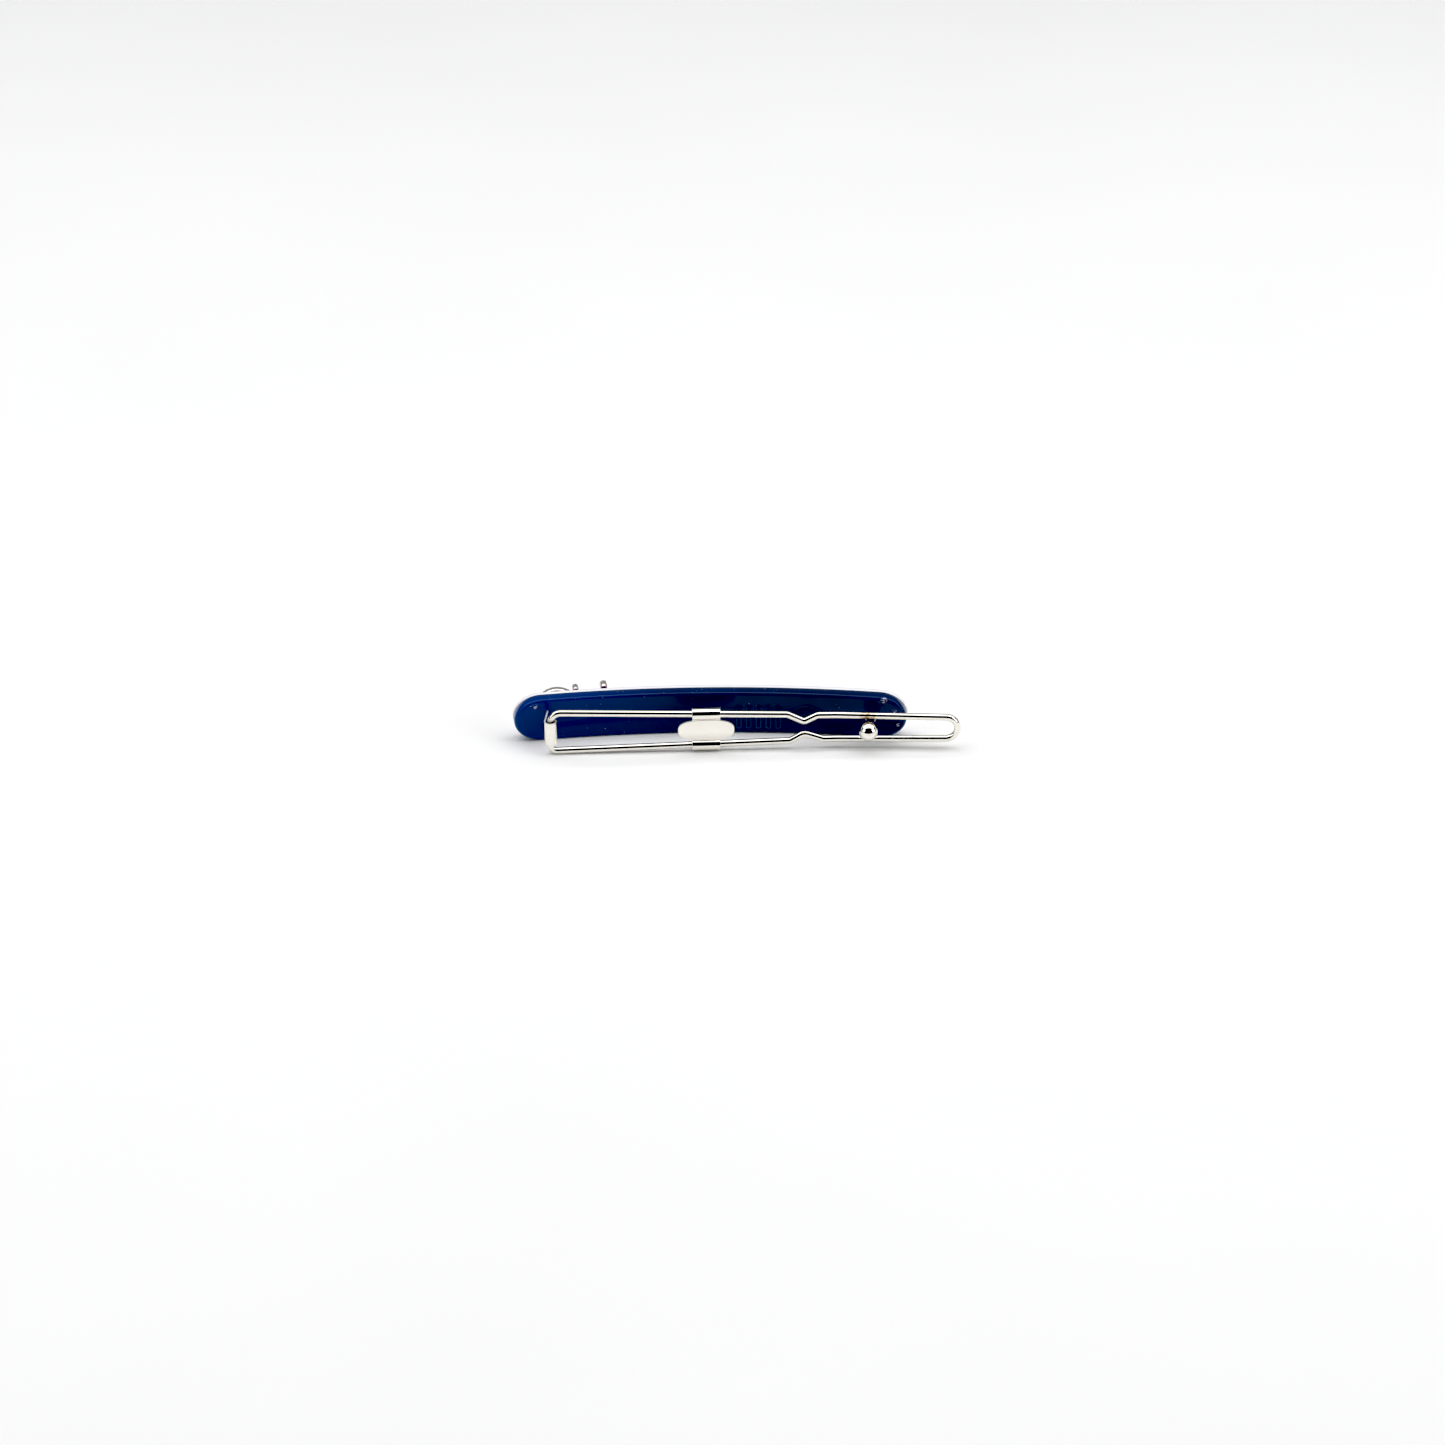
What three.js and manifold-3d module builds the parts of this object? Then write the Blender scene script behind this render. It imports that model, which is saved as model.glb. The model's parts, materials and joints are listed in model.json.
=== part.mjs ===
// A slim hair slide: two laminated layers of bowed acetate with a sprig of small stones on the front.
// On the back a bent-wire clip swings in a rolled hinge bracket and snaps over a ball-headed stud.
//
// Millimetres, +Z up. The slide stands on its long edge: +X runs along the bar to the clip's nose,
// -Y is the clip side, +Y the decorated front, and Z crosses the bar's width. The origin is the
// middle of the bottom edge, halfway through the back layer.
//
// Pieces that belong to the bar are drawn straight, in bar coordinates (along, height, z), and then
// bent onto its bow: along is measured on the back face, height from the back face to the front.

import * as THREE from 'three';
import { mergeVertices } from 'three/addons/utils/BufferGeometryUtils.js';
import Module from 'manifold-3d';

const wasm = await Module();
wasm.setup();

const RIGHT_ANGLE = Math.PI / 2;
const radians = THREE.MathUtils.degToRad;

// ---------- driving dimensions ----------

const BAR = {
  length: 72,
  width: 8.5,
  endReach: 5.17,
  bowRadius: 211.5,
  backThickness: 2.2,
  frontThickness: 1.24,
  glueLine: 0.02,
  edgeRadius: 0.6,
};
const GROOVES = { count: 5, pitch: 1.8, middle: 8.85, z: 3.55, length: 5.3, radius: 0.6, depth: 0.3 };

const WIRE = { radius: 0.62, loopWidthAtHinge: 7.9, loopWidthAtNeck: 5.56, loopWidthAtNose: 4.4 };
const PIVOT = { x: -29.13, y: -8.02 };
const CLIP = {
  closedTilt: radians(1.74),
  noseReach: 74.1,
  neckMiddle: 46.2,
  neckWidth: 2.5,
  widthAfterNeck: 5.0,
  liftStart: 52,
  noseLift: radians(3.4),
  midAtHinge: 4.56,
  midAtStud: 4.25,
  studReach: 58.5,
};

// Where each leg's neck starts and ends along the clip, and how tightly the neck itself is bent.
const UPPER_NECK = { start: 43.1, end: 48.6, bend: 0.9 };
const LOWER_NECK = { start: 43.75, end: 49.7, bend: 1.3 };

const BRACKET = { sheet: 0.3, bore: 0.87, bottom: 2.2, top: 6.8, footTop: 6.2 };
BRACKET.lean = radians(4.6);
BRACKET.wrap = radians(285);
const TANG = { depth: 1.5, notch: 1.6, slack: 0.1 };

const STUD = { along: 29.5, ball: 1.75, ballHeight: 5.1, neck: 0.75, shankDepth: 1.6, slack: 0.1 };
STUD.collar = 1.32;
STUD.collarHeight = STUD.ballHeight - 1.62;

const PLATE = { reach: 28.3, length: 10.24, height: 4.14, sheet: 0.36, tabWidth: 5.1, setOut: 0.3 };
PLATE.rollRadius = WIRE.radius + 0.14 + PLATE.sheet / 2;
PLATE.filletRadius = 0.3;
PLATE.rollEnd = radians(215);

const SPRIG = { gap: 0.04, lift: 0.06, stemRadius: 0.32, twigRadius: 0.24 };
SPRIG.rim = 0.26;
SPRIG.seat = 0.75;
SPRIG.pinRadius = 0.4;
SPRIG.pinLength = 0.9;
const STONE_SLACK = 0.05;

// Each stone sits in a cup of the sprig: a leaf is a pointed oval, a bud is round.
const STONES = [
  { name: 'leaf_crystal_upper', along: -28.1, z: 7.2, length: 5.7, width: 2.3, turn: 6, rise: 1.5 },
  { name: 'leaf_crystal_lower', along: -25.3, z: 1.9, length: 5.0, width: 2.2, turn: -9, rise: 1.5 },
  { name: 'bud_crystal_inner', along: -24.3, z: 7.9, length: 1.2, width: 1.2, turn: 0, rise: 1.9 },
  { name: 'bud_crystal_upper', along: -19.2, z: 8.05, length: 1.4, width: 1.4, turn: 0, rise: 2.2 },
  { name: 'bud_crystal_lower', along: -20.3, z: 1.7, length: 1.6, width: 1.6, turn: 0, rise: 1.9 },
  { name: 'bud_crystal_end', along: -16.0, z: 4.9, length: 2.0, width: 2.0, turn: 0, rise: 1.7 },
];

const FRONT_FACE = BAR.backThickness + BAR.glueLine + BAR.frontThickness;

// ---------- materials ----------

const NAVY = new THREE.MeshStandardMaterial({ color: 0x020f3c, roughness: 0.12, metalness: 0 });
const WHITE = new THREE.MeshStandardMaterial({ color: 0xf4f4f6, roughness: 0.15, metalness: 0 });
const NICKEL = new THREE.MeshStandardMaterial({ color: 0xd9d6cf, roughness: 0.12, metalness: 1 });
const CRYSTAL = new THREE.MeshStandardMaterial({ color: 0xf2ecf0, roughness: 0.03, metalness: 0 });

// ---------- solids and booleans ----------

// Merges shared corners and drops the triangles that close up to nothing.
function weld(geometry) {
  const bare = geometry.clone();
  bare.deleteAttribute('normal');
  bare.deleteAttribute('uv');
  const merged = mergeVertices(bare, 1e-4);
  const corners = merged.index.array;
  const kept = [];
  for (let i = 0; i < corners.length; i += 3) {
    const [a, b, c] = corners.slice(i, i + 3);
    if (a !== b && b !== c && c !== a) {
      kept.push(a, b, c);
    }
  }
  merged.setIndex(kept);
  return merged;
}

function toSolid(geometry) {
  const welded = weld(geometry);
  const vertProperties = new Float32Array(welded.attributes.position.array);
  const triVerts = new Uint32Array(welded.index.array);
  return new wasm.Manifold(new wasm.Mesh({ numProp: 3, vertProperties, triVerts }));
}

function toGeometry(solid) {
  const mesh = solid.getMesh();
  const geometry = new THREE.BufferGeometry();
  geometry.setAttribute('position', new THREE.BufferAttribute(new Float32Array(mesh.vertProperties), 3));
  geometry.setIndex(Array.from(mesh.triVerts));
  return geometry;
}

function join(geometries) {
  return geometries.map(toSolid).reduce((whole, piece) => whole.add(piece));
}

function cut(body, cutters) {
  return cutters.map(toSolid).reduce((rest, cutter) => rest.subtract(cutter), body);
}

// ---------- shape helpers ----------

// A closed skin over equal, convex rings. Each ring turns right-handed about the way to the next.
function skin(rings) {
  const count = rings[0].length;
  const corners = [];
  for (let r = 0; r + 1 < rings.length; r += 1) {
    for (let i = 0; i < count; i += 1) {
      const here = r * count + i;
      const beside = r * count + (i + 1) % count;
      corners.push(here, beside, beside + count, here, beside + count, here + count);
    }
  }
  const last = (rings.length - 1) * count;
  for (let i = 0; i < count / 2 - 1; i += 1) {
    const across = count - 1 - i;
    corners.push(i, across, across - 1, i, across - 1, i + 1);
    corners.push(last + i, last + i + 1, last + across - 1, last + i, last + across - 1, last + across);
  }
  const geometry = new THREE.BufferGeometry();
  const places = rings.flat().flatMap((point) => [point.x, point.y, point.z]);
  geometry.setAttribute('position', new THREE.Float32BufferAttribute(places, 3));
  geometry.setIndex(corners);
  return weld(geometry);
}

// Turns the corners of a bent wire or sheet into points and directions along straights and arcs.
// Each corner is { point, bend }, where bend is the radius of the arc that rounds it.
function bentPath(corners, stepAngle) {
  const start = corners[0].point;
  const end = corners[corners.length - 1].point;
  const stations = [{ point: start, direction: corners[1].point.clone().sub(start).normalize() }];
  for (let i = 1; i + 1 < corners.length; i += 1) {
    const { point, bend } = corners[i];
    const into = point.clone().sub(corners[i - 1].point).normalize();
    const out = corners[i + 1].point.clone().sub(point).normalize();
    const turn = into.angleTo(out);
    const steps = Math.max(2, Math.round(turn / stepAngle));
    const entry = point.clone().addScaledVector(into, -bend * Math.tan(turn / 2));
    const inward = out.clone().addScaledVector(into, -Math.cos(turn)).normalize();
    for (let k = 0; k <= steps; k += 1) {
      const angle = turn * k / steps;
      stations.push({
        point: entry.clone().addScaledVector(into, bend * Math.sin(angle))
          .addScaledVector(inward, bend * (1 - Math.cos(angle))),
        direction: into.clone().multiplyScalar(Math.cos(angle)).addScaledVector(inward, Math.sin(angle)),
      });
    }
  }
  const previous = corners[corners.length - 2].point;
  stations.push({ point: end, direction: end.clone().sub(previous).normalize() });
  return stations;
}

// A round rod along stations. It keeps one line of corners turned to the given side.
function rod(stations, radius, sides, side) {
  const rings = stations.map(({ point, direction }) => {
    const across = side.clone().addScaledVector(direction, -side.dot(direction)).normalize();
    const up = direction.clone().cross(across);
    const ring = [];
    for (let k = 0; k < sides; k += 1) {
      const angle = 2 * Math.PI * k / sides;
      ring.push(point.clone().addScaledVector(across, radius * Math.cos(angle))
        .addScaledVector(up, radius * Math.sin(angle)));
    }
    return ring;
  });
  return skin(rings);
}

// The outline of a sheet of even thickness that follows flat points.
function ribbon(points, thickness) {
  const left = [];
  const right = [];
  points.forEach((point, i) => {
    const before = points[Math.max(i - 1, 0)];
    const after = points[Math.min(i + 1, points.length - 1)];
    const along = after.clone().sub(before).normalize();
    const aside = new THREE.Vector2(-along.y, along.x).multiplyScalar(thickness / 2);
    left.push(point.clone().add(aside));
    right.unshift(point.clone().sub(aside));
  });
  return new THREE.Shape([...left, ...right]);
}

function arcPoints(centre, radius, from, to, steps) {
  const points = [];
  for (let i = 0; i <= steps; i += 1) {
    const angle = from + (to - from) * i / steps;
    points.push(new THREE.Vector2(centre.x + radius * Math.cos(angle), centre.y + radius * Math.sin(angle)));
  }
  return points;
}

function extrude(shape, depth) {
  return new THREE.ExtrudeGeometry(shape, { depth, bevelEnabled: false, curveSegments: 16 });
}

// ---------- the bow ----------

function onBar(along, height, z) {
  const angle = along / BAR.bowRadius;
  const reach = BAR.bowRadius + height;
  const y = reach * Math.cos(angle) - BAR.bowRadius - BAR.backThickness / 2;
  return new THREE.Vector3(reach * Math.sin(angle), y, z);
}

function bend(geometry) {
  const position = geometry.attributes.position;
  for (let i = 0; i < position.count; i += 1) {
    const place = onBar(position.getX(i), position.getY(i), position.getZ(i));
    position.setXYZ(i, place.x, place.y, place.z);
  }
  return geometry;
}

// ---------- the laminated bar ----------

// The bar's outline, drawn in by inset: [along, half width] from the left tip to the right tip.
function barStations(inset) {
  const endSteps = 9;
  const sideSteps = 21;
  const straight = BAR.length / 2 - BAR.endReach;
  const reach = BAR.endReach - inset;
  const half = BAR.width / 2 - inset;
  const stations = [];
  for (let i = 0; i <= endSteps; i += 1) {
    const turn = RIGHT_ANGLE * i / endSteps;
    stations.push([-straight - reach * Math.cos(turn), half * Math.sin(turn)]);
  }
  for (let i = 1; i < sideSteps; i += 1) {
    stations.push([straight * (2 * i / sideSteps - 1), half]);
  }
  for (let i = endSteps; i >= 0; i -= 1) {
    const turn = RIGHT_ANGLE * i / endSteps;
    stations.push([straight + reach * Math.cos(turn), half * Math.sin(turn)]);
  }
  return stations;
}

// One layer of the bar from its [height, inset] levels, back to front.
function barLayer(levels) {
  const rings = levels.map(([height, inset]) => {
    const stations = barStations(inset);
    const upper = stations.map(([along, half]) => new THREE.Vector3(along, height, BAR.width / 2 + half));
    const lower = stations.map(([along, half]) => new THREE.Vector3(along, height, BAR.width / 2 - half));
    return [...upper, ...lower.reverse()];
  });
  return bend(skin(rings));
}

// The levels of a rounded edge: outward is +1 where the edge is at the front and -1 at the back.
function roundedEdge(faceHeight, outward) {
  const steps = 4;
  const levels = [];
  for (let i = 0; i <= steps; i += 1) {
    const turn = RIGHT_ANGLE * i / steps;
    const height = faceHeight - outward * BAR.edgeRadius * (1 - Math.sin(turn));
    levels.push([height, BAR.edgeRadius * (1 - Math.cos(turn))]);
  }
  return outward > 0 ? levels : levels.reverse();
}

function grooveCutters() {
  const cutters = [];
  for (let i = 0; i < GROOVES.count; i += 1) {
    const along = GROOVES.middle + (i - (GROOVES.count - 1) / 2) * GROOVES.pitch;
    const cutter = new THREE.CapsuleGeometry(GROOVES.radius, GROOVES.length - 2 * GROOVES.radius, 4, 12);
    cutter.rotateX(RIGHT_ANGLE);
    cutter.translate(along, GROOVES.depth - GROOVES.radius, GROOVES.z);
    cutters.push(bend(cutter));
  }
  return cutters;
}

function studPocket() {
  const pocket = new THREE.CylinderGeometry(STUD.neck + STUD.slack, STUD.neck + STUD.slack, 4, 24);
  pocket.translate(STUD.along, STUD.shankDepth + STUD.slack - 2, BAR.width / 2);
  return bend(pocket);
}

function backBar() {
  const body = barLayer([...roundedEdge(0, -1), [BAR.backThickness, 0]]);
  return toGeometry(cut(toSolid(body), [...grooveCutters(), studPocket(), tangSlot()]));
}

function frontLayer() {
  const body = barLayer([[BAR.backThickness + BAR.glueLine, 0], ...roundedEdge(FRONT_FACE, 1)]);
  return toGeometry(cut(toSolid(body), sprigPins(STONE_SLACK)));
}

// ---------- the hinge bracket ----------

const LEG_DIRECTION = new THREE.Vector2(Math.sin(BRACKET.lean), Math.cos(BRACKET.lean));
const BARREL_RADIUS = BRACKET.bore + BRACKET.sheet / 2;

// A point on the leg's middle line, a given distance from the barrel towards the bar.
function legPoint(distance) {
  const tangent = new THREE.Vector2(PIVOT.x, PIVOT.y);
  tangent.add(new THREE.Vector2(-LEG_DIRECTION.y, LEG_DIRECTION.x).multiplyScalar(BARREL_RADIUS));
  return tangent.addScaledVector(LEG_DIRECTION, distance);
}

const LEG_LENGTH = 4.95;

function tangSlot() {
  const slot = ribbon([legPoint(LEG_LENGTH - 1), legPoint(LEG_LENGTH + TANG.depth + TANG.slack)],
    BRACKET.sheet + 2 * TANG.slack);
  const solid = extrude(slot, BRACKET.footTop - BRACKET.bottom + 2 * TANG.slack);
  solid.translate(0, 0, BRACKET.bottom - TANG.slack);
  return solid;
}

// Lowers the leg's upper edge from the barrel's top to the foot's.
function slopeLeg(strip) {
  const position = strip.getAttribute('position');
  for (let i = 0; i < position.count; i += 1) {
    const inFoot = position.getY(i) > PIVOT.y + LEG_LENGTH / 2;
    if (inFoot && position.getZ(i) > BRACKET.footTop) position.setZ(i, BRACKET.footTop);
  }
}

function hingeBracket() {
  const firstAngle = Math.PI - BRACKET.lean;
  const curl = arcPoints(PIVOT, BARREL_RADIUS, firstAngle, firstAngle + BRACKET.wrap, 22);
  const line = [legPoint(LEG_LENGTH + TANG.depth), legPoint(LEG_LENGTH), ...curl];
  const strip = extrude(ribbon(line, BRACKET.sheet), BRACKET.top - BRACKET.bottom);
  strip.translate(0, 0, BRACKET.bottom);
  slopeLeg(strip);
  const notch = new THREE.BoxGeometry(3, 2, TANG.notch);
  const foot = legPoint(LEG_LENGTH + TANG.depth / 2 + 1);
  notch.translate(foot.x, foot.y, (BRACKET.footTop + BRACKET.bottom) / 2);
  return toGeometry(cut(toSolid(strip), [notch]));
}

// ---------- the catch stud ----------

// The profile runs up from the barbed shank's tip to the top of the ball.
function catchStud() {
  const profile = [new THREE.Vector2(0, -STUD.shankDepth), new THREE.Vector2(STUD.neck * 0.6, -STUD.shankDepth)];
  const barbs = 3;
  for (let i = 0; i < barbs; i += 1) {
    const low = STUD.shankDepth * (i / barbs - 1);
    profile.push(new THREE.Vector2(STUD.neck, low + STUD.shankDepth / barbs * 0.6));
    profile.push(new THREE.Vector2(STUD.neck * 0.75, low + STUD.shankDepth / barbs * 0.7));
  }
  profile.push(new THREE.Vector2(STUD.neck, 0), new THREE.Vector2(STUD.neck, STUD.collarHeight));
  profile.push(new THREE.Vector2(STUD.collar, STUD.collarHeight));
  const collarAngle = -Math.acos(STUD.collar / STUD.ball);
  const ball = arcPoints({ x: 0, y: STUD.ballHeight }, STUD.ball, collarAngle, RIGHT_ANGLE, 14);
  ball[ball.length - 1].x = 0;
  return new THREE.LatheGeometry([...profile, ...ball], 28);
}

// ---------- the wire clip ----------

// The clip is drawn in its own frame at the pivot: X out to the nose, -Y away from the bar, Z up.
function clipMid(reach) {
  return CLIP.midAtHinge + (CLIP.midAtStud - CLIP.midAtHinge) * reach / CLIP.studReach;
}

function legWidth(reach) {
  return THREE.MathUtils.lerp(WIRE.loopWidthAtHinge, WIRE.loopWidthAtNeck, reach / UPPER_NECK.start);
}

// The corners of one leg from its hinge end to the nose; side is +1 for the upper, -1 for the lower.
function legCorners(side, pinEnd, hingeBend) {
  const lift = Math.tan(CLIP.noseLift);
  const neck = side > 0 ? UPPER_NECK : LOWER_NECK;
  const corner = (reach, width, radius) => {
    const y = -Math.max(0, reach - CLIP.liftStart) * lift;
    return { point: new THREE.Vector3(reach, y, clipMid(reach) + side * width / 2), bend: radius };
  };
  return [
    { point: new THREE.Vector3(0, 0, pinEnd), bend: 0 },
    corner(0, legWidth(0), hingeBend),
    corner(neck.start, legWidth(neck.start), 1.5),
    corner(CLIP.neckMiddle, CLIP.neckWidth, neck.bend),
    corner(neck.end, CLIP.widthAfterNeck, 1.2),
    corner(CLIP.liftStart, CLIP.widthAfterNeck - 0.04, 9),
    corner(CLIP.noseReach, WIRE.loopWidthAtNose, WIRE.loopWidthAtNose / 2 - 0.05),
  ];
}

function wireClip() {
  const upper = legCorners(1, 4.95, 1.9);
  const lower = legCorners(-1, 3.75, 1.1);
  const stations = bentPath([...upper, ...lower.reverse()], radians(13));
  return rod(stations, WIRE.radius, 12, new THREE.Vector3(0, 1, 0));
}

// ---------- the pressure plate ----------

// A tab leaves the oval, bows out and rolls round a leg. side is +1 for the upper leg, -1 for the lower.
function plateTab(side) {
  const legHeight = clipMid(PLATE.reach) + side * legWidth(PLATE.reach) / 2;
  const filletX = PLATE.setOut + PLATE.filletRadius;
  const meeting = Math.acos(filletX / (PLATE.rollRadius + PLATE.filletRadius));
  const filletY = -Math.sin(meeting) * (PLATE.rollRadius + PLATE.filletRadius);
  const flat = new THREE.Vector2(PLATE.setOut, -(legHeight - clipMid(PLATE.reach)) * side);
  const fillet = arcPoints({ x: filletX, y: filletY }, PLATE.filletRadius, Math.PI, Math.PI - meeting, 4);
  const roll = arcPoints({ x: 0, y: 0 }, PLATE.rollRadius, -meeting, PLATE.rollEnd, 20);
  const tab = extrude(ribbon([flat, ...fillet, ...roll.slice(1)], PLATE.sheet), PLATE.tabWidth);
  tab.translate(0, 0, -PLATE.tabWidth / 2);
  // The section's x is away from the bar and its y is outward across the loop.
  const axes = new THREE.Matrix4().makeBasis(
    new THREE.Vector3(0, -1, 0),
    new THREE.Vector3(0, 0, side),
    new THREE.Vector3(-side, 0, 0),
  );
  tab.applyMatrix4(axes);
  tab.translate(PLATE.reach, 0, legHeight);
  return tab;
}

function plateOval() {
  const steps = 48;
  const squareness = 2.7;
  const stretch = (value) => Math.sign(value) * Math.abs(value) ** (2 / squareness);
  const outline = [];
  for (let i = 0; i < steps; i += 1) {
    const angle = 2 * Math.PI * i / steps;
    const x = stretch(Math.cos(angle)) * PLATE.length / 2;
    outline.push(new THREE.Vector2(x, stretch(Math.sin(angle)) * PLATE.height / 2));
  }
  const oval = extrude(new THREE.Shape(outline), PLATE.sheet);
  oval.rotateX(RIGHT_ANGLE);
  oval.translate(PLATE.reach, PLATE.sheet / 2 - PLATE.setOut, clipMid(PLATE.reach));
  return oval;
}

function pressurePlate() {
  return toGeometry(join([plateOval(), plateTab(1), plateTab(-1)]));
}

// ---------- the sprig and its stones ----------

// A stone's outline, drawn in by inset, as a ring at a height above the back face.
function stoneRing(stone, inset, height) {
  const steps = 16;
  const pointed = stone.length > stone.width;
  const turn = radians(stone.turn);
  const ring = [];
  for (let i = 0; i < steps; i += 1) {
    const angle = 2 * Math.PI * i / steps;
    const belly = pointed ? Math.sin(angle) * Math.abs(Math.sin(angle)) : Math.sin(angle);
    const x = -(stone.length / 2 - inset * (pointed ? 2 : 1)) * Math.cos(angle);
    const z = (stone.width / 2 - inset) * belly;
    const along = stone.along + x * Math.cos(turn) - z * Math.sin(turn);
    ring.push(new THREE.Vector3(along, height, stone.z + x * Math.sin(turn) + z * Math.cos(turn)));
  }
  return ring;
}

function cupBody(stone) {
  const foot = FRONT_FACE + SPRIG.gap;
  const top = FRONT_FACE + stone.rise;
  return skin([stoneRing(stone, stone.width * 0.2, foot), stoneRing(stone, 0, foot + stone.rise * 0.45),
    stoneRing(stone, 0, top - 0.1), stoneRing(stone, 0.1, top)]);
}

function cupSeat(stone) {
  const top = FRONT_FACE + stone.rise;
  return skin([stoneRing(stone, SPRIG.rim, top - SPRIG.seat), stoneRing(stone, SPRIG.rim, top + 1)]);
}

function crystal(stone) {
  const floor = FRONT_FACE + stone.rise - SPRIG.seat + STONE_SLACK;
  const inset = SPRIG.rim + STONE_SLACK;
  const shoulder = stone.width * 0.2;
  return skin([stoneRing(stone, inset, floor), stoneRing(stone, inset, floor + SPRIG.seat - 0.15),
    stoneRing(stone, inset + shoulder / 2, floor + SPRIG.seat + 0.15),
    stoneRing(stone, inset + shoulder, floor + SPRIG.seat + 0.3)]);
}

// The stem runs up the middle of the bar, and a twig leaves it for each cup.
function stemRod(points, radius) {
  const height = FRONT_FACE + SPRIG.gap + SPRIG.lift + SPRIG.stemRadius;
  const curve = new THREE.CatmullRomCurve3(points.map(([along, z]) => new THREE.Vector3(along, height, z)));
  const steps = Math.max(3, Math.round(curve.getLength() / 1.2));
  const stations = [];
  for (let i = 0; i <= steps; i += 1) {
    stations.push({ point: curve.getPointAt(i / steps), direction: curve.getTangentAt(i / steps) });
  }
  return rod(stations, radius, 8, new THREE.Vector3(0, 1, 0));
}

const STEM = [[-31.2, 3.6], [-28, 4.3], [-24, 4.7], [-20, 4.5], [-16, 4.9]];
const TWIGS = [
  [[-29.4, 4.0], [-28.9, 5.4], [-28.1, 7.2]],
  [[-27.2, 4.4], [-26.4, 3.2], [-25.3, 1.9]],
  [[-26.2, 4.6], [-24.9, 6.0], [-24.3, 7.9]],
  [[-22.6, 4.6], [-20.6, 5.9], [-19.2, 8.05]],
  [[-22.9, 4.6], [-21.2, 3.5], [-20.3, 1.7]],
];
const PIN_PLACES = [[-28, 4.3], [-20, 4.5]];

// Short pins under the stem hold it in the front layer; slack widens and deepens them for their holes.
function sprigPins(slack) {
  const top = FRONT_FACE + SPRIG.gap + SPRIG.stemRadius;
  const bottom = FRONT_FACE - SPRIG.pinLength - slack;
  return PIN_PLACES.map(([along, z]) => {
    const pin = new THREE.CylinderGeometry(SPRIG.pinRadius + slack, SPRIG.pinRadius + slack, top - bottom, 16);
    pin.translate(along, (top + bottom) / 2, z);
    return bend(pin);
  });
}

function sprigSetting() {
  const stem = bend(stemRod(STEM, SPRIG.stemRadius));
  const twigs = TWIGS.map((points) => bend(stemRod(points, SPRIG.twigRadius)));
  const cups = STONES.map((stone) => bend(cupBody(stone)));
  const seats = STONES.map((stone) => bend(cupSeat(stone)));
  return toGeometry(cut(join([stem, ...twigs, ...cups, ...sprigPins(0)]), seats));
}

// ---------- assembly ----------

function node(name, geometry, material) {
  const mesh = new THREE.Mesh(geometry, material);
  mesh.name = name;
  return mesh;
}

const slide = new THREE.Group();
slide.name = 'hair_slide';

slide.add(node('back_bar', backBar(), NAVY));
slide.add(node('front_layer', frontLayer(), WHITE));
slide.add(node('hinge_bracket', hingeBracket(), NICKEL));

// The stud stands square on the bowed back face.
const stud = node('catch_stud', catchStud(), NICKEL);
stud.position.copy(onBar(STUD.along, 0, BAR.width / 2));
stud.rotation.z = Math.PI - STUD.along / BAR.bowRadius;
slide.add(stud);

// The closed clip leans in a little towards the bar.
const clip = new THREE.Group();
clip.position.set(PIVOT.x, PIVOT.y, 0);
clip.rotation.z = CLIP.closedTilt;
clip.add(node('wire_clip', wireClip(), NICKEL));
clip.add(node('pressure_plate', pressurePlate(), NICKEL));
slide.add(clip);

slide.add(node('sprig_setting', sprigSetting(), NICKEL));
for (const stone of STONES) {
  slide.add(node(stone.name, bend(crystal(stone)), CRYSTAL));
}

export default slide;
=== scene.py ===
"""Looks for the hair slide: smooth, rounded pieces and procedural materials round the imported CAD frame.

Lengths are in millimetres until mesh_object() writes them in metres. The frame's X runs along the bar to
the clip's nose, -Y is the clip side, +Y the decorated front and +Z up across the bar's width.
"""
import json
import math

import bmesh
import bpy
import numpy as np
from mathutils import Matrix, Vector


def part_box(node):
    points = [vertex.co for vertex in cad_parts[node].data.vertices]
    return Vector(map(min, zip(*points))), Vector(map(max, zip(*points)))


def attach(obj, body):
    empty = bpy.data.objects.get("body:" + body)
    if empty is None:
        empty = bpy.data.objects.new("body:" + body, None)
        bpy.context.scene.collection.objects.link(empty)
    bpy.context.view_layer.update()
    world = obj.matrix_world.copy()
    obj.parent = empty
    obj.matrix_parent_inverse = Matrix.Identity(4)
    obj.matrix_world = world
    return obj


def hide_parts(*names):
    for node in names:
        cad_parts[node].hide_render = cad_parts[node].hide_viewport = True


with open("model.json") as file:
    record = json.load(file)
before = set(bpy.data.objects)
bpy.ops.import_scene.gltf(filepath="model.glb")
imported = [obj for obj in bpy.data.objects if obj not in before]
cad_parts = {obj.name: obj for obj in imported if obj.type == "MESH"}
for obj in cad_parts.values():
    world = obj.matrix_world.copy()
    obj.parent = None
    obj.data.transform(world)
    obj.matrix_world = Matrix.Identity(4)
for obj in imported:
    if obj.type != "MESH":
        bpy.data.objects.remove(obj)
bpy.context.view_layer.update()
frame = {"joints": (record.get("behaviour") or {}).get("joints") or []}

MM = 0.001


def box_mm(node):
    low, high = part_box(node)
    return low / MM, high / MM


# ---------- sizes from the frame, and the CAD's own driving sizes ----------

BACK_LOW, BACK_HIGH = box_mm("back_bar")
FRONT_HIGH = box_mm("front_layer")[1]
BAR_WIDTH = BACK_HIGH.z - BACK_LOW.z
BAR_MID = BAR_WIDTH / 2
BACK_THICKNESS = 2 * BACK_HIGH.y
FRONT_FACE = FRONT_HIGH.y + BACK_THICKNESS / 2
BAR_LENGTH = 72.0
END_REACH = 5.17
BOW_RADIUS = 211.5
EDGE_RADIUS = 0.6
GLUE_LINE = 0.02

PIVOT = Vector(frame["joints"][0]["pos_m"]) / MM
CLIP_TILT = math.radians(1.74)
WIRE_RADIUS = 0.62

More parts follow.
